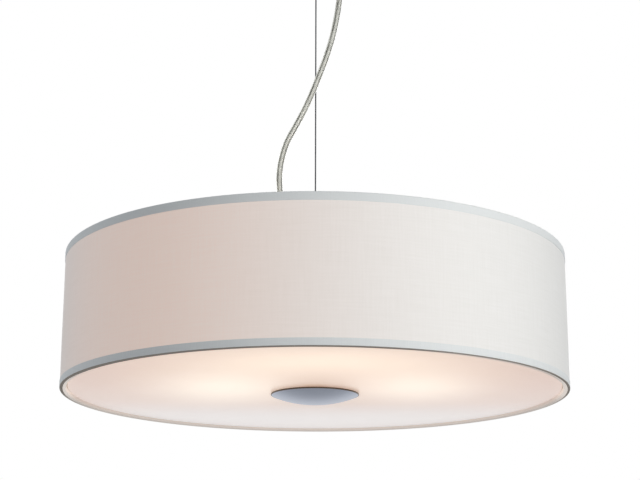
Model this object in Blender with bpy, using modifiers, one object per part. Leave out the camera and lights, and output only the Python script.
"""A drum pendant light: a fabric shade with three bulbs over an opal diffuser, hung by one steel wire.

Lengths are in metres and Z is up. The origin is the middle of the ceiling bracket's top face, so
everything hangs below it. X runs along the ceiling bracket, and one bulb points along -Y.
"""

import math

import bmesh
import bpy
from mathutils import Matrix, Vector

# Clearances
seat_gap = 0.0003  # between two pieces that touch
bore_gap = 0.0003  # between a shaft, thread or cable and the hole it goes through
overrun = 0.002  # how far a cutter runs past the face that it cuts
merge_distance = 0.00001

# Roundness
shade_steps = 60
cup_steps = 40
small_steps = 16
slim_sides = 8
hex_sides = 6
corner_steps = 3
slot_end_steps = 6
ball_steps = 8
globe_steps = 7
dome_steps = 7
dome_inner_steps = 5
hoop_sides = 6
crease_angle = math.radians(35)
right_angle = math.radians(90)
half_turn = math.radians(180)
full_turn = math.radians(360)

# Driving sizes
shade_diameter = 0.500
shade_height = 0.135
suspension_drop = 0.3185  # from the canopy's underside to the shade's top edge
canopy_diameter = 0.110
canopy_depth = 0.028

# Ceiling group
ceiling_gap = 0.0005  # from the canopy's rim to the plane of the bracket's top face
canopy_wall = 0.0010
canopy_corner = 0.0060
screw_dome_shares = ((0.0, 1.0), (0.6, 0.85), (1.0, 0.3))  # of a screw head's radius and height
bracket_width = 0.018
bracket_thickness = 0.0015
bracket_tab = 0.0130
bracket_side_gap = 0.0008
slot_spacing = 0.070
slot_length = 0.0100
slot_width = 0.0045
side_screw_drop = 0.0085
side_screw_radius = 0.0018
side_screw_length = 0.0065
side_screw_head_radius = 0.0042
side_screw_head_height = 0.0026

# Cable gripper in the canopy, with the ball that the wire hangs by
gripper_radius = 0.0070
gripper_nose_radius = 0.0052
gripper_nose_height = 0.0060
gripper_drop = 0.0230
gripper_neck = 0.0090
ball_radius = 0.0030
ball_height = 0.0100  # of the ball's centre over the gripper's lower end
throat_radius = 0.0020
outlet_flare = math.radians(14)

# Wire and its lower fitting
wire_diameter = 0.0015
ferrule_radius = 0.0024
ferrule_length = 0.0042
coupling_radius = 0.0080
coupling_tip_radius = 0.0036
coupling_height = 0.0300
coupling_shoulder = 0.0080
coupling_thread = 0.0130
coupling_chamber = 0.0055

# Supply cord and the strain reliefs at its ends
cord_diameter = 0.0064
cord_point_spacing = 0.0060
grip_flange_radius = 0.0085
grip_flange_height = 0.0030
grip_base_radius = 0.0070
grip_tip_radius = 0.0050
grip_length = 0.0240
grip_neck_radius = 0.0050
grip_neck = 0.0060
grip_nut_flats = 0.0140
grip_nut_height = 0.0040
hub_grip_x = -0.0300
hub_grip_y = -0.0040
canopy_grip_x = 0.0252
canopy_grip_y = -0.0053

# The cord's route, from the strain relief on the hub up to the one in the canopy
cord_route = [
    (-0.0300, -0.0040, -0.3337),
    (-0.0301, -0.0041, -0.3260),
    (-0.0306, -0.0045, -0.3160),
    (-0.0324, -0.0051, -0.3040),
    (-0.0346, -0.0057, -0.2900),
    (-0.0363, -0.0060, -0.2740),
    (-0.0371, -0.0062, -0.2590),
    (-0.0361, -0.0064, -0.2450),
    (-0.0331, -0.0065, -0.2310),
    (-0.0284, -0.0066, -0.2175),
    (-0.0212, -0.0066, -0.2035),
    (-0.0110, -0.0066, -0.1830),
    (-0.0030, -0.0066, -0.1640),
    (0.0034, -0.0065, -0.1470),
    (0.0108, -0.0063, -0.1260),
    (0.0171, -0.0060, -0.1040),
    (0.0218, -0.0056, -0.0810),
    (0.0246, -0.0054, -0.0620),
    (0.0252, -0.0053, -0.0531),
]

# Wiring
core_radius = 0.0011
core_spread = 0.0016
core_lane = 0.0040
core_pitch = 0.0050  # between the cores where they enter a terminal block
core_count = 3
core_bend_share = 0.25  # of the way to the terminal where a core turns level
core_drift_share = 0.65  # of its way sideways that a core has made there
lead_radius = 0.0014
lead_resolution = 1
cord_resolution = 2
terminal_length = 0.0260
terminal_depth = 0.0150
terminal_height = 0.0120
terminal_poles = 3
terminal_notch = 0.0020
mains_terminal_x = -0.0160
hub_terminal_y = 0.0245

# Threaded rod, nuts and washers on the lamp's axis
rod_diameter = 0.0100
rod_wall = 0.0015
rod_top = 0.0180  # over the spider's ring
rod_bottom = 0.0040  # below the shade's lower edge
nut_flats = 0.0140
nut_height = 0.0050
washer_radius = 0.0090
washer_height = 0.0010

# Hub
hub_diameter = 0.100
hub_depth = 0.0234
hub_wall = 0.0010
hub_corner = 0.0040
plate_thickness = 0.0020

# Shade
spider_recess = 0.0080
spider_ring_radius = 0.0160
spider_ring_height = 0.0034
spider_arm_count = 3
first_spider_angle = math.radians(90)
spider_arm_radius = 0.0015
spider_stub_radius = 0.0012
spider_weld_share = 0.3  # of the hoop's radius that a stub reaches over the hoop's middle
hoop_radius = 0.0013
liner_thickness = 0.0008
fabric_thickness = 0.0006
trim_thickness = 0.0005
top_trim_height = 0.0080
bottom_trim_height = 0.0070
trim_return = 0.0045  # how far the trim turns up or down on the inside

# Lampholders and bulbs
bulb_count = 3
first_bulb_angle = math.radians(30)
bulb_axis_drop = 0.0300  # below the hub plate
holder_back = 0.0200  # from the lamp's axis to the back of the lampholder
holder_length = 0.0360
holder_radius = 0.0175
holder_skirt_radius = 0.0200
holder_skirt = 0.0070
holder_back_radius = 0.0120
holder_taper = 0.0100
holder_floor = 0.0080
holder_boss_radius = 0.0050
holder_boss = 0.0045
holder_entry_radius = 0.0022
socket_radius = 0.0146
holder_bracket_thickness = 0.0015
holder_bracket_width = 0.0180
holder_bracket_foot = 0.0240
holder_bracket_tail = 0.0110
holder_screw_place = 0.0350
holder_screw_radius = 0.0018
holder_screw_length = 0.0080
holder_screw_head_radius = 0.0036
holder_screw_head_height = 0.0022
lead_hole_radius = 0.0024
lead_hole_place = 0.0140
bulb_diameter = 0.055
bulb_length = 0.096
bulb_cap_radius = 0.0130
bulb_cap_length = 0.0240
bulb_cap_insulator = 0.0050
bulb_contact_radius = 0.0045
bulb_contact_height = 0.0015
bulb_contact_gap = 0.0015
bulb_neck_radius = 0.0132
bulb_neck_share = 0.25  # of the way from the neck to the shoulder, half way down the neck
bulb_shoulder = math.radians(118)  # where the globe's arc ends, measured from the bulb's tip

# Diffuser and finial
diffuser_recess = 0.0026
diffuser_thickness = 0.0030
diffuser_side_gap = 0.0018
diffuser_washer_height = 0.0007
finial_diameter = 0.0874
finial_rim_height = 0.0012
finial_dome = 0.0086
finial_wall = 0.0010
finial_rise = 0.0001  # of the rim's lower edge over the shade's lower edge
boss_flange_radius = 0.0120
boss_neck_radius = 0.0070
boss_rise = 0.0044  # of the boss over the diffuser
boss_wall_gap = 0.0004  # between the boss and the hole in the diffuser

# Levels, worked out from the ceiling down
canopy_top = -ceiling_gap
canopy_bottom = canopy_top - canopy_depth
shade_top = canopy_bottom - suspension_drop
shade_bottom = shade_top - shade_height
gripper_bottom = canopy_bottom - gripper_drop
ball_z = gripper_bottom + ball_height
spider_top = shade_top - spider_recess
spider_bottom = spider_top - spider_ring_height
hub_top = spider_bottom - seat_gap
hub_bottom = hub_top - hub_depth
plate_top = hub_bottom - seat_gap
plate_bottom = plate_top - plate_thickness
top_nut_bottom = spider_top + seat_gap
coupling_bottom = top_nut_bottom + nut_height + seat_gap
coupling_top = coupling_bottom + coupling_height
rod_top_z = spider_top + rod_top
rod_bottom_z = shade_bottom - rod_bottom
bulb_z = plate_bottom - bulb_axis_drop
diffuser_bottom = shade_bottom + diffuser_recess
diffuser_top = diffuser_bottom + diffuser_thickness
boss_shoulder = diffuser_bottom - diffuser_washer_height - 2 * seat_gap
boss_top = diffuser_top + boss_rise
finial_rim_bottom = shade_bottom + finial_rise
finial_lowest = finial_rim_bottom - finial_dome

# Radii, worked out from the outside in
canopy_radius = canopy_diameter / 2
canopy_inner_radius = canopy_radius - canopy_wall
rod_radius = rod_diameter / 2
rod_hole_radius = rod_radius + bore_gap
wire_radius = wire_diameter / 2
wire_hole_radius = wire_radius + bore_gap
cord_radius = cord_diameter / 2
shade_radius = shade_diameter / 2
fabric_radius = shade_radius - trim_thickness - seat_gap
liner_radius = fabric_radius - fabric_thickness - seat_gap
hoop_centre_radius = liner_radius - liner_thickness - seat_gap - hoop_radius
trim_inner_radius = hoop_centre_radius - hoop_radius - seat_gap - trim_thickness
wall_bottom = shade_bottom + trim_thickness + seat_gap
wall_top = shade_top - trim_thickness - seat_gap
diffuser_radius = trim_inner_radius - diffuser_side_gap
finial_radius = finial_diameter / 2


def remove_everything():
    for obj in list(bpy.data.objects):
        bpy.data.objects.remove(obj, do_unlink=True)


def make_collection(name):
    collection = bpy.data.collections.new(name)
    bpy.context.scene.collection.children.link(collection)
    return collection


def linear(hex_colour):
    """Turns an sRGB hex colour into the linear values that a shader takes."""
    parts = [int(hex_colour[i:i + 2], 16) / 255 for i in (1, 3, 5)]
    values = [c / 12.92 if c <= 0.04045 else ((c + 0.055) / 1.055) ** 2.4 for c in parts]
    return (*values, 1.0)


def make_finish(name, hex_colour, roughness, metallic=0.0):
    finish = bpy.data.materials.new(name)
    finish.use_nodes = True
    shader = finish.node_tree.nodes["Principled BSDF"]
    shader.inputs["Base Color"].default_value = linear(hex_colour)
    shader.inputs["Roughness"].default_value = roughness
    shader.inputs["Metallic"].default_value = metallic
    finish.diffuse_color = linear(hex_colour)
    return finish


def at(x=0.0, y=0.0, z=0.0):
    return Matrix.Translation((x, y, z))


def radial(angle, radius, z):
    """A frame at a radius from the lamp's axis, with its own Z pointing outwards and its X down."""
    turn = Matrix.Rotation(angle, 4, "Z")
    tip = Matrix.Rotation(right_angle, 4, "Y")
    return at(z=z) @ turn @ at(x=radius) @ tip


def make_pivot(name, place, owner=None):
    pivot = bpy.data.objects.new(name, None)
    parts.objects.link(pivot)
    place_object(pivot, place, owner)
    return pivot


def place_object(obj, place, owner):
    """Puts an object at a world place, and keeps it there when it gets a parent."""
    if owner is not None:
        bpy.context.view_layer.update()
        obj.parent = owner
        obj.matrix_parent_inverse = owner.matrix_world.inverted()
    obj.matrix_basis = place


def add_object(name, data, finish, place, owner=None):
    obj = bpy.data.objects.new(name, data)
    if finish is None:
        cutters.objects.link(obj)
        obj.hide_render = True
        obj.display_type = "WIRE"
    else:
        parts.objects.link(obj)
        data.materials.append(finish)
    place_object(obj, place, owner)
    return obj


def as_mesh(obj):
    """Replaces a curve, or a mesh with modifiers, with the plain welded mesh that it makes."""
    name = obj.name
    finish = obj.data.materials[0] if obj.data.materials else None
    place = obj.matrix_basis.copy()
    owner = obj.parent
    bpy.context.view_layer.update()
    mesh = bpy.data.meshes.new_from_object(obj.evaluated_get(bpy.context.evaluated_depsgraph_get()))
    weld(mesh)
    mesh.materials.clear()
    bpy.data.objects.remove(obj, do_unlink=True)
    mesh.shade_smooth()
    mesh.set_sharp_from_angle(angle=crease_angle)
    return add_object(name, mesh, finish, place, owner)


def weld(mesh):
    shape = bmesh.new()
    shape.from_mesh(mesh)
    bmesh.ops.remove_doubles(shape, verts=shape.verts, dist=merge_distance)
    shape.to_mesh(mesh)
    shape.free()


def turned(name, profile, steps, finish, place, owner=None, hollow=True):
    """Spins a profile of (radius, height) about Z. A hollow one is a loop that stays off the axis."""
    mesh = bpy.data.meshes.new(name)
    edges = [(i, i + 1) for i in range(len(profile) - 1)]
    if hollow:
        edges.append((len(profile) - 1, 0))
    mesh.from_pydata([(r, 0.0, z) for r, z in profile], edges, [])
    obj = add_object(name, mesh, finish, place, owner)
    screw = obj.modifiers.new("Turn", "SCREW")
    screw.axis = "Z"
    screw.steps = steps
    screw.render_steps = steps
    screw.use_merge_vertices = True
    screw.merge_threshold = merge_distance
    return as_mesh(obj)


def cylinder(name, radius, bottom, top, sides, finish, place, owner=None):
    """An upright cylinder in its own frame, or a hexagonal bar when it has six sides."""
    mesh = bpy.data.meshes.new(name)
    shape = bmesh.new()
    bmesh.ops.create_cone(
        shape,
        cap_ends=True,
        segments=sides,
        radius1=radius,
        radius2=radius,
        depth=top - bottom,
        matrix=at(z=(top + bottom) / 2),
    )
    shape.to_mesh(mesh)
    shape.free()
    mesh.shade_smooth()
    mesh.set_sharp_from_angle(angle=crease_angle)
    return add_object(name, mesh, finish, place, owner)


def extruded(name, outline, thickness, finish, place, owner=None):
    """A flat outline of (x, y) points, made as thick as stated and centred on its own plane."""
    curve = bpy.data.curves.new(name, "CURVE")
    curve.dimensions = "2D"
    curve.fill_mode = "BOTH"
    curve.extrude = thickness / 2
    spline = curve.splines.new("POLY")
    spline.points.add(len(outline) - 1)
    for point, (x, y) in zip(spline.points, outline):
        point.co = (x, y, 0.0, 1.0)
    spline.use_cyclic_u = True
    return as_mesh(add_object(name, curve, finish, place, owner))


def tube(name, route, radius, resolution, finish, owner=None):
    curve = bpy.data.curves.new(name, "CURVE")
    curve.dimensions = "3D"
    curve.bevel_depth = radius
    curve.bevel_resolution = resolution
    curve.use_fill_caps = True
    spline = curve.splines.new("POLY")
    spline.points.add(len(route) - 1)
    for point, place in zip(spline.points, route):
        point.co = (*place, 1.0)
    return add_object(name, curve, finish, at(), owner)


def smooth_route(points, spacing):
    """Points at an even spacing along a smooth curve through the given ones."""
    knots = [Vector(p) for p in points]
    knots = [2 * knots[0] - knots[1], *knots, 2 * knots[-1] - knots[-2]]
    route = [knots[1]]
    for a, b, c, d in zip(knots, knots[1:], knots[2:], knots[3:]):
        count = max(1, round((c - b).length / spacing))
        for i in range(1, count + 1):
            t = i / count
            route.append((
                2 * b
                + (c - a) * t
                + (2 * a - 5 * b + 4 * c - d) * t ** 2
                + (3 * b - 3 * c + d - a) * t ** 3
            ) / 2)
    return route


def cut(target, cutter):
    boolean = target.modifiers.new("Cut", "BOOLEAN")
    boolean.operation = "DIFFERENCE"
    boolean.solver = "EXACT"
    boolean.object = cutter


def join(target, other):
    """Joins another solid to the target for good. The exact solver loses the hoop, whose faces line up."""
    boolean = target.modifiers.new("Join", "BOOLEAN")
    boolean.operation = "UNION"
    boolean.solver = "MANIFOLD"
    boolean.object = other
    joined = as_mesh(target)
    bpy.data.objects.remove(other, do_unlink=True)
    return joined


def drill(target, name, radius, bottom, top, place):
    """Drills a round hole along the place's Z axis, past both of the stated ends."""
    cut(target, cylinder(name, radius, bottom - overrun, top + overrun, small_steps, None, place))


def ring_profile(inner, outer, bottom, top):
    return [(outer, top), (outer, bottom), (inner, bottom), (inner, top)]


def arc(centre_r, centre_z, radius, start, end, count):
    """Points on an arc in a turned profile. Angles are in degrees from the outward direction."""
    angles = [math.radians(start + (end - start) * i / count) for i in range(count + 1)]
    return [(centre_r + radius * math.cos(a), centre_z + radius * math.sin(a)) for a in angles]


def cup_profile(radius, wall, corner, bottom, top, hole_radius):
    """A cup that opens upwards, with a rounded lower corner and a hole in its floor."""
    inner = radius - wall
    inner_corner = corner - wall
    outer_side = [(radius, top)] + arc(radius - corner, bottom + corner, corner, 0, -90, corner_steps)
    hole = [(hole_radius, bottom), (hole_radius, bottom + wall)]
    inner_side = arc(inner - inner_corner, bottom + corner, inner_corner, -90, 0, corner_steps)
    return outer_side + hole + inner_side + [(inner, top)]


def hex_nut(name, flats, height, hole_radius, finish, place, owner=None):
    nut = cylinder(name, flats / math.sqrt(3), 0.0, height, hex_sides, finish, place, owner)
    drill(nut, name + "_bore", hole_radius, 0.0, height, place)
    return nut


def screw_profile(shank_radius, shank_length, head_radius, head_height):
    """A screw with a domed head above its own origin, and its shank below."""
    dome = [(head_radius * across, head_height * up) for across, up in screw_dome_shares]
    shank = [(shank_radius, 0.0), (shank_radius, -shank_length), (0.0, -shank_length)]
    return [*dome, (head_radius, 0.0), *shank]


def stadium(length, width):
    """The outline of a slot with round ends, long in X."""
    straight = (length - width) / 2
    right = arc(straight, 0.0, width / 2, -90, 90, slot_end_steps)
    left = arc(-straight, 0.0, width / 2, 90, 270, slot_end_steps)
    return right + left


def ceiling_bracket():
    """A steel strap with turned-down ends that the canopy is screwed to."""
    half_width = bracket_width / 2
    reach = math.sqrt((canopy_inner_radius - bracket_side_gap) ** 2 - half_width ** 2)
    inner = reach - bracket_thickness
    right = [(inner, -bracket_thickness), (inner, -bracket_tab), (reach, -bracket_tab), (reach, 0.0)]
    left = [(-x, z) for x, z in reversed(right)]
    upright = Matrix.Rotation(right_angle, 4, "X")
    strap = extruded("ceiling_bracket", right + left, bracket_width, steel, upright)
    for side in (-1, 1):
        slot_place = at(x=side * slot_spacing / 2)
        slot_height = 2 * (bracket_thickness + overrun)
        cut(strap, extruded("bracket_slot", stadium(slot_length, slot_width), slot_height, None, slot_place))
        place = side_screw_place(side)
        drill(strap, "bracket_side_hole", side_screw_radius + bore_gap, -side_screw_length, 0.0, place)


def side_screw_place(side):
    """The frame of a canopy screw: its Z axis points away from the canopy along X."""
    tip = Matrix.Rotation(side * right_angle, 4, "Y")
    return at(x=side * (canopy_radius + seat_gap), z=canopy_top - side_screw_drop) @ tip


def canopy_cup():
    profile = cup_profile(
        canopy_radius, canopy_wall, canopy_corner, canopy_bottom, canopy_top, rod_hole_radius
    )
    cup = turned("canopy_cup", profile, cup_steps, nickel, at())
    grip_place = at(canopy_grip_x, canopy_grip_y, canopy_bottom)
    drill(cup, "canopy_grip_hole", grip_neck_radius + bore_gap, 0.0, canopy_wall, grip_place)
    for side in (-1, 1):
        place = side_screw_place(side)
        drill(cup, "canopy_side_hole", side_screw_radius + bore_gap, -canopy_wall, 0.0, place)


def canopy_screws():
    profile = screw_profile(
        side_screw_radius, side_screw_length, side_screw_head_radius, side_screw_head_height
    )
    for side, name in ((-1, "canopy_screw_left"), (1, "canopy_screw_right")):
        turned(name, profile, small_steps, nickel, side_screw_place(side), hollow=False)


def cable_gripper():
    """The turned fitting that the wire's ball sits in. Its outlet flares so that the wire can swing."""
    neck_radius = rod_radius
    shoulder = canopy_bottom - seat_gap
    neck_top = canopy_bottom + gripper_neck
    chamber = ball_radius + bore_gap
    seat_reach = math.sqrt(2) * (ball_radius + seat_gap)
    throat_z = ball_z - (seat_reach - throat_radius)
    seat_z = ball_z - (seat_reach - chamber)
    mouth = throat_radius + (throat_z - gripper_bottom) * math.tan(outlet_flare)
    profile = [
        (neck_radius, neck_top),
        (neck_radius, shoulder),
        (gripper_radius, shoulder),
        (gripper_radius, gripper_bottom + gripper_nose_height),
        (gripper_nose_radius, gripper_bottom),
        (mouth, gripper_bottom),
        (throat_radius, throat_z),
        (chamber, seat_z),
        (chamber, neck_top),
    ]
    turned("cable_gripper", profile, small_steps, nickel, at())
    nut_place = at(z=canopy_bottom + canopy_wall + seat_gap)
    hex_nut("gripper_nut", nut_flats, nut_height, neck_radius + bore_gap, steel, nut_place)


def cord_grip(name, nut_name, wall, place, owner=None):
    """A strain relief through a wall. Its own Z axis points out of the wall, along the cord."""
    cord_hole = cord_radius + bore_gap
    profile = [
        (grip_tip_radius, grip_length),
        (grip_base_radius, grip_flange_height),
        (grip_flange_radius, grip_flange_height),
        (grip_flange_radius, seat_gap),
        (grip_neck_radius, seat_gap),
        (grip_neck_radius, -wall - grip_neck),
        (cord_hole, -wall - grip_neck),
        (cord_hole, grip_length),
    ]
    turned(name, profile, small_steps, clear_plastic, place, owner)
    nut_place = place @ at(z=-wall - seat_gap - grip_nut_height)
    hole = grip_neck_radius + bore_gap
    hex_nut(nut_name, grip_nut_flats, grip_nut_height, hole, white_plastic, nut_place, owner)


def terminal_block(name, place, owner=None):
    """A block of screw terminals in a row along X, standing on its own origin."""
    pitch = terminal_length / terminal_poles
    half = terminal_depth / 2
    side = []
    for pole in range(terminal_poles):
        start = -terminal_length / 2 + pole * pitch
        side += [(start + terminal_notch / 2, -half), (start + pitch - terminal_notch / 2, -half)]
        if pole < terminal_poles - 1:
            side.append((start + pitch, -half + terminal_notch))
    outline = side + [(-x, -y) for x, y in side]
    middle = place @ at(z=terminal_height / 2)
    extruded(name, outline, terminal_height, white_plastic, middle, owner)


def canopy_wiring():
    """Three cores from the strain relief to the mains terminal under the bracket."""
    terminal_top = -bracket_thickness - seat_gap
    terminal_block("mains_terminal", at(x=mains_terminal_x, z=terminal_top - terminal_height))
    start_z = canopy_bottom + canopy_wall + grip_neck + seat_gap
    end_x = mains_terminal_x + terminal_length / 2 + core_radius
    end_z = terminal_top - terminal_height / 2
    for name, finish, lane in (("live", live, 0), ("neutral", neutral, 1), ("earth", earth, -1)):
        turn = full_turn * lane / core_count
        start_x = canopy_grip_x + core_spread * math.cos(turn)
        start_y = canopy_grip_y + core_spread * math.sin(turn)
        end_y = lane * core_pitch
        bend_x = start_x + (end_x - start_x) * core_bend_share
        bend_y = start_y + (end_y - start_y) * core_drift_share
        route = [
            (start_x, start_y, start_z),
            (start_x, start_y + lane * core_lane / 2, (start_z + end_z) / 2),
            (bend_x, bend_y, end_z),
            ((start_x + end_x) / 2, end_y, end_z),
            (end_x, end_y, end_z),
        ]
        path = smooth_route(route, cord_point_spacing / 2)
        tube("supply_" + name, path, core_radius, lead_resolution, finish)


def suspension():
    """The wire with its ball at the top and its ferrule at the bottom."""
    half_bore = math.degrees(math.asin(wire_hole_radius / ball_radius))
    ball = arc(0.0, ball_z, ball_radius, 90 - half_bore, half_bore - 90, ball_steps)
    turned("wire_ball", ball, small_steps, stainless, at(), lamp_pivot)
    chamber_top = coupling_bottom + coupling_thread + coupling_chamber
    ferrule_top = chamber_top - seat_gap
    ferrule_bottom = ferrule_top - ferrule_length
    ferrule = ring_profile(wire_hole_radius, ferrule_radius, ferrule_bottom, ferrule_top)
    turned("wire_ferrule", ferrule, small_steps, stainless, at(), lamp_pivot)
    middle = (ball_z + ferrule_bottom) / 2
    route = [(0.0, 0.0, z) for z in (ferrule_bottom, middle, ball_z + ball_radius)]
    tube("suspension_wire", route, wire_radius, cord_resolution, stainless, lamp_pivot)


def wire_coupling():
    """The turned cone that screws onto the rod and holds the wire's ferrule."""
    shoulder_z = coupling_bottom + coupling_shoulder
    chamber_top = coupling_bottom + coupling_thread + coupling_chamber
    profile = [
        (coupling_tip_radius, coupling_top),
        (coupling_radius, shoulder_z),
        (coupling_radius, coupling_bottom),
        (rod_hole_radius, coupling_bottom),
        (rod_hole_radius, chamber_top),
        (wire_hole_radius, chamber_top),
        (wire_hole_radius, coupling_top),
    ]
    turned("wire_coupling", profile, small_steps, nickel, at(), lamp_pivot)


def power_cord():
    route = smooth_route(cord_route, cord_point_spacing * 2)
    tube("power_cord", route, cord_radius, cord_resolution, clear_plastic, lamp_pivot)


def threaded_rod():
    profile = ring_profile(rod_radius - rod_wall, rod_radius, rod_bottom_z, rod_top_z)
    turned("threaded_rod", profile, small_steps, brass, at(), lamp_pivot)
    hex_nut("top_nut", nut_flats, nut_height, rod_hole_radius, nickel, at(z=top_nut_bottom), lamp_pivot)
    washer_top = plate_bottom - seat_gap
    washer = ring_profile(rod_hole_radius, washer_radius, washer_top - washer_height, washer_top)
    turned("lock_washer", washer, small_steps, steel, at(), lamp_pivot)
    nut_place = at(z=washer_top - washer_height - seat_gap - nut_height)
    hex_nut("lower_nut", nut_flats, nut_height, rod_hole_radius, steel, nut_place, lamp_pivot)
    stop_place = at(z=boss_top + seat_gap)
    hex_nut("diffuser_stop_nut", nut_flats, nut_height, rod_hole_radius, steel, stop_place, lamp_pivot)


def hub():
    """A spun steel cup, mouth down, closed by the plate that the lampholders hang from."""
    upside_down = at(z=hub_top) @ Matrix.Rotation(half_turn, 4, "X")
    profile = cup_profile(hub_diameter / 2, hub_wall, hub_corner, 0.0, hub_depth, rod_hole_radius)
    cup = turned("hub_cup", profile, cup_steps, white_enamel, upside_down, lamp_pivot)
    grip_place = at(hub_grip_x, hub_grip_y, hub_top)
    drill(cup, "hub_grip_hole", grip_neck_radius + bore_gap, -hub_wall, 0.0, grip_place)
    cord_grip("hub_cord_grip", "hub_grip_nut", hub_wall, grip_place, lamp_pivot)
    disc = ring_profile(rod_hole_radius, hub_diameter / 2, plate_bottom, plate_top)
    plate = turned("hub_plate", disc, cup_steps, white_enamel, at(), lamp_pivot)
    for angle in bulb_angles():
        turn = Matrix.Rotation(angle, 4, "Z")
        lead_place = turn @ at(x=lead_hole_place)
        drill(plate, "lead_hole", lead_hole_radius, plate_bottom, plate_top, lead_place)
        screw_place = turn @ at(x=holder_screw_place)
        drill(plate, "screw_hole", holder_screw_radius + bore_gap, plate_bottom, plate_top, screw_place)


def hub_wiring():
    """Three cores from the strain relief to the terminal block that stands on the hub plate."""
    block_z = plate_top + seat_gap
    terminal_block("hub_terminal", at(y=hub_terminal_y, z=block_z), lamp_pivot)
    start_z = hub_top - hub_wall - grip_neck - seat_gap
    end_x = -terminal_length / 2 - core_radius
    end_z = block_z + terminal_height / 2
    for name, finish, lane in (("live", live, 0), ("neutral", neutral, 1), ("earth", earth, 2)):
        turn = full_turn * lane / core_count
        start_x = hub_grip_x + core_spread * math.cos(turn)
        start_y = hub_grip_y + core_spread * math.sin(turn)
        lane_x = hub_grip_x + (1 - lane) * core_lane
        end_y = hub_terminal_y + (lane - 1) * core_pitch
        route = [
            (start_x, start_y, start_z),
            (lane_x, start_y + core_radius, (start_z + end_z) / 2),
            (lane_x, (start_y + end_y) / 2, end_z),
            ((start_x + end_x) / 2, end_y, end_z),
            (end_x, end_y, end_z),
        ]
        path = smooth_route(route, cord_point_spacing / 2)
        tube("hub_" + name, path, core_radius, lead_resolution, finish, lamp_pivot)


def bulb_angles():
    return [first_bulb_angle + full_turn * i / bulb_count for i in range(bulb_count)]


def hoop_profile(z):
    """The round section of a hoop, with a few flat sides, that runs down its outer side."""
    last_side = 360 / hoop_sides
    return arc(hoop_centre_radius, z, hoop_radius, 90, last_side - 270, hoop_sides - 1)


def shade_frame():
    """The wire hoops of the shade, and the three-armed spider that hangs it from the rod."""
    upper = wall_top - hoop_radius
    lower = wall_bottom + hoop_radius
    turned("bottom_hoop", hoop_profile(lower), shade_steps, white_wire, at(), lamp_pivot)
    spider = turned("shade_spider", hoop_profile(upper), shade_steps, white_wire, at(), lamp_pivot)
    arm_z = spider_top - spider_ring_height / 2
    inner = (spider_ring_radius + rod_hole_radius) / 2
    length = hoop_centre_radius + spider_stub_radius - inner
    weld_top = upper + hoop_radius * spider_weld_share
    for i in range(spider_arm_count):
        turn = first_spider_angle + full_turn * i / spider_arm_count
        place = radial(turn, inner, arm_z)
        arm = cylinder("arm", spider_arm_radius, 0.0, length, slim_sides, white_wire, place, lamp_pivot)
        stub_place = Matrix.Rotation(turn, 4, "Z") @ at(x=hoop_centre_radius)
        stub = cylinder(
            "stub", spider_stub_radius, arm_z, weld_top, slim_sides, white_wire, stub_place, lamp_pivot
        )
        spider = join(spider, join(arm, stub))
    ring = ring_profile(rod_hole_radius, spider_ring_radius, spider_bottom, spider_top)
    join(spider, turned("ring", ring, small_steps, white_wire, at(), lamp_pivot))


def shade_skins():
    """The stiff liner, the fabric laminated to it, and the two folded bands of trim."""
    fabric_inner = fabric_radius - fabric_thickness
    liner = ring_profile(liner_radius - liner_thickness, liner_radius, wall_bottom, wall_top)
    fabric = ring_profile(fabric_inner, fabric_radius, wall_bottom, wall_top)
    turned("shade_liner", liner, shade_steps, liner_white, at(), lamp_pivot)
    turned("shade_fabric", fabric, shade_steps, cotton, at(), lamp_pivot)
    trims = (
        ("bottom_trim", bottom_trim_height, shade_bottom, 0.0),
        ("top_trim", top_trim_height, shade_top, half_turn),
    )
    for name, height, edge, turn in trims:
        place = at(z=edge) @ Matrix.Rotation(turn, 4, "X")
        profile = [
            (shade_radius, height),
            (shade_radius, 0.0),
            (trim_inner_radius, 0.0),
            (trim_inner_radius, trim_return),
            (trim_inner_radius + trim_thickness, trim_return),
            (trim_inner_radius + trim_thickness, trim_thickness),
            (shade_radius - trim_thickness, trim_thickness),
            (shade_radius - trim_thickness, height),
        ]
        turned(name, profile, shade_steps, trim_tape, place, lamp_pivot)


def holder_bracket(name, angle):
    """An angle of steel: a foot under the hub plate, and a leg that the lampholder is fixed to."""
    top = bulb_z - plate_bottom + seat_gap  # heights run down the bracket's own X axis
    tail = holder_bracket_tail
    back = -seat_gap - holder_bracket_thickness
    foot_under = top + holder_bracket_thickness
    outline = [
        (top, back),
        (top, holder_bracket_foot),
        (foot_under, holder_bracket_foot),
        (foot_under, -seat_gap),
        (tail, -seat_gap),
        (tail, back),
    ]
    frame = radial(angle, holder_back, bulb_z)
    upright = Matrix.Rotation(right_angle, 4, "X")
    bracket = extruded(name, outline, holder_bracket_width, steel, frame @ upright, lamp_pivot)
    drill(bracket, name + "_entry", holder_boss_radius + bore_gap, back, 0.0, frame)
    screw_place = Matrix.Rotation(angle, 4, "Z") @ at(x=holder_screw_place)
    foot_bottom = plate_bottom - seat_gap - holder_bracket_thickness
    hole = holder_screw_radius + bore_gap
    drill(bracket, name + "_hole", hole, foot_bottom, plate_bottom, screw_place)


def holder_screw(name, angle):
    profile = screw_profile(
        holder_screw_radius, holder_screw_length, holder_screw_head_radius, holder_screw_head_height
    )
    head_z = plate_bottom - 2 * seat_gap - holder_bracket_thickness
    head_down = at(z=head_z) @ Matrix.Rotation(half_turn, 4, "X")
    place = Matrix.Rotation(angle, 4, "Z") @ at(x=holder_screw_place) @ head_down
    turned(name, profile, small_steps, steel, place, lamp_pivot, hollow=False)


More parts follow.
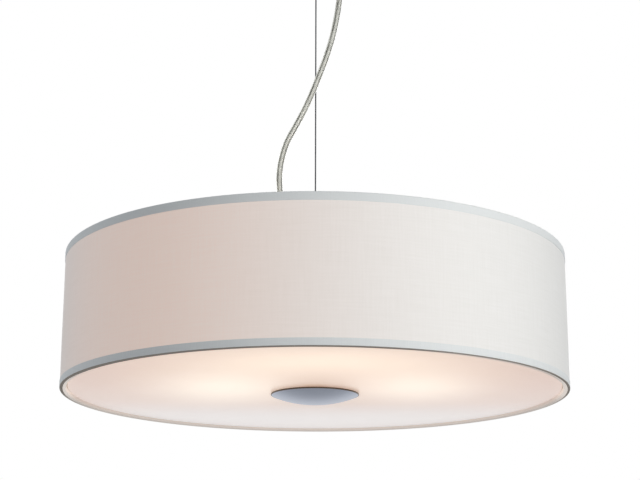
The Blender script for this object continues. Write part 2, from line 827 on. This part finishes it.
def lampholder(name, frame):
    """A screw lampholder. Its own Z axis points out of its mouth."""
    profile = [
        (holder_skirt_radius, holder_length),
        (holder_skirt_radius, holder_length - holder_skirt),
        (holder_radius, holder_length - holder_skirt),
        (holder_radius, holder_taper),
        (holder_back_radius, 0.0),
        (holder_boss_radius, 0.0),
        (holder_boss_radius, -holder_boss),
        (holder_entry_radius, -holder_boss),
        (holder_entry_radius, holder_floor),
        (socket_radius, holder_floor),
        (socket_radius, holder_length),
    ]
    turned(name, profile, small_steps, white_plastic, frame, lamp_pivot)


def bulb(number, frame, owner):
    """A bulb on the lampholder's axis: its screw cap, and its opal globe as a solid form."""
    contact = holder_floor + bulb_contact_gap
    insulator = contact + bulb_contact_height
    shell = contact + bulb_cap_insulator
    cap_end = contact + bulb_cap_length
    cap = [
        (0.0, cap_end),
        (bulb_cap_radius, cap_end),
        (bulb_cap_radius, shell),
        (bulb_contact_radius, insulator),
        (bulb_contact_radius, contact),
        (0.0, contact),
    ]
    turned(f"bulb_cap_{number}", cap, small_steps, nickel, frame, owner, hollow=False)
    globe_radius = bulb_diameter / 2
    centre = contact + bulb_length - globe_radius
    end_angle = 90 - math.degrees(bulb_shoulder)
    globe = arc(0.0, centre, globe_radius, 90, end_angle, globe_steps)[1:]
    neck_start = cap_end + seat_gap
    shoulder_r, shoulder_z = globe[-1]
    neck_z = (neck_start + shoulder_z) / 2
    neck_r = bulb_neck_radius + (shoulder_r - bulb_neck_radius) * bulb_neck_share
    profile = [(0.0, centre + globe_radius), *globe, (neck_r, neck_z)]
    profile += [(bulb_neck_radius, neck_start), (0.0, neck_start)]
    turned(f"bulb_globe_{number}", profile, small_steps, opal_globe, frame, owner, hollow=False)


def holder_lead(name, angle):
    """The twin lead from the hub's terminal block through the plate to the back of a lampholder."""
    turn = Matrix.Rotation(angle, 4, "Z")
    inner = (rod_radius + holder_back - holder_boss) / 2
    back = holder_back - holder_boss - seat_gap
    below_plate = (plate_bottom + bulb_z) / 2
    route = [
        (lead_hole_place, 0.0, plate_top + terminal_height / 2),
        (lead_hole_place, 0.0, plate_top),
        (lead_hole_place, 0.0, plate_bottom - plate_thickness),
        (inner, 0.0, below_plate),
        (inner, 0.0, bulb_z + 3 * lead_radius),
        ((inner + back) / 2, 0.0, bulb_z + lead_radius / 2),
        (back, 0.0, bulb_z),
    ]
    path = smooth_route([turn @ Vector(p) for p in route], cord_point_spacing)
    tube(name, path, lead_radius, lead_resolution, clear_plastic, lamp_pivot)


def lampholders():
    for number, angle in enumerate(bulb_angles(), 1):
        frame = radial(angle, holder_back, bulb_z)
        axis = make_pivot(f"bulb_axis_{number}", frame, lamp_pivot)
        holder_bracket(f"holder_bracket_{number}", angle)
        holder_screw(f"holder_screw_{number}", angle)
        lampholder(f"lampholder_{number}", frame)
        holder_lead(f"holder_lead_{number}", angle)
        bulb(number, frame, axis)


def diffuser():
    """The opal acrylic disc, on a fibre washer that lies on the finial's shoulder."""
    hole = boss_neck_radius + boss_wall_gap
    disc = ring_profile(hole, diffuser_radius, diffuser_bottom, diffuser_top)
    turned("diffuser_disc", disc, shade_steps, opal_acrylic, at(), diffuser_carrier)
    washer_bottom = boss_shoulder + seat_gap
    washer_top = washer_bottom + diffuser_washer_height
    washer = ring_profile(hole, boss_flange_radius, washer_bottom, washer_top)
    turned("diffuser_washer", washer, small_steps, fibre, at(), diffuser_carrier)


def finial():
    """The domed cap under the diffuser, and the threaded boss inside it that runs on the rod."""
    rim_top = finial_rim_bottom + finial_rim_height
    sphere = (finial_radius ** 2 + finial_dome ** 2) / (2 * finial_dome)
    half_angle = math.degrees(math.asin(finial_radius / sphere))
    centre = finial_lowest + sphere
    outer = arc(0.0, centre, sphere, half_angle - 90, -90, dome_steps)
    inner_radius = finial_radius - finial_wall
    inner_angle = math.degrees(math.asin(inner_radius / (sphere - finial_wall)))
    inner = arc(0.0, centre, sphere - finial_wall, -90, inner_angle - 90, dome_inner_steps)
    inner[0] = (0.0, inner[0][1])
    outer[-1] = (0.0, outer[-1][1])
    profile = [*inner, (inner_radius, rim_top), (finial_radius, rim_top), *outer]
    turned("finial_cap", profile, cup_steps, satin_nickel, at(), finial_axis, hollow=False)
    inner_sphere = sphere - finial_wall
    floor = centre - math.sqrt(inner_sphere ** 2 - boss_flange_radius ** 2)
    boss_bottom = floor + seat_gap
    boss = [
        (boss_neck_radius, boss_top),
        (boss_neck_radius, boss_shoulder),
        (boss_flange_radius, boss_shoulder),
        (boss_flange_radius, boss_bottom),
        (rod_hole_radius, boss_bottom),
        (rod_hole_radius, boss_top),
    ]
    turned("finial_boss", boss, small_steps, brass, at(), finial_axis)


remove_everything()
parts = make_collection("pendant_light")
cutters = make_collection("cutters")

nickel = make_finish("nickel_plate", "#b9b9bf", 0.25, 1.0)
satin_nickel = make_finish("satin_nickel", "#b4b6c2", 0.35, 1.0)
steel = make_finish("zinc_plated_steel", "#a9adb0", 0.35, 1.0)
stainless = make_finish("stainless_steel", "#adaeb0", 0.30, 1.0)
brass = make_finish("brass", "#b5965a", 0.30, 1.0)
white_enamel = make_finish("white_enamel", "#e8e8e6", 0.40)
white_wire = make_finish("white_wire", "#e4e4e2", 0.45)
white_plastic = make_finish("white_plastic", "#ebeae6", 0.45)
clear_plastic = make_finish("clear_plastic", "#c9c9c8", 0.15)
liner_white = make_finish("styrene_liner", "#f3f0ea", 0.55)
cotton = make_finish("cotton_fabric", "#e3dfdb", 0.90)
trim_tape = make_finish("trim_tape", "#c9d0d4", 0.80)
opal_acrylic = make_finish("opal_acrylic", "#efe6df", 0.35)
opal_globe = make_finish("opal_globe", "#fff3e2", 0.30)
fibre = make_finish("fibre_washer", "#8c4a34", 0.80)
live = make_finish("brown_core", "#6b452f", 0.45)
neutral = make_finish("blue_core", "#2f5f9c", 0.45)
earth = make_finish("green_core", "#6f9a3c", 0.45)

lamp_pivot = make_pivot("lamp_pivot", at(z=ball_z))
diffuser_carrier = make_pivot("diffuser_carrier", at(z=diffuser_bottom), lamp_pivot)
finial_axis = make_pivot("finial_axis", at(z=finial_rim_bottom), diffuser_carrier)

ceiling_bracket()
canopy_cup()
canopy_screws()
cable_gripper()
canopy_place = at(canopy_grip_x, canopy_grip_y, canopy_bottom) @ Matrix.Rotation(half_turn, 4, "X")
cord_grip("canopy_cord_grip", "canopy_grip_nut", canopy_wall, canopy_place)
canopy_wiring()
suspension()
wire_coupling()
power_cord()
threaded_rod()
hub()
hub_wiring()
shade_frame()
shade_skins()
lampholders()
diffuser()
finial()
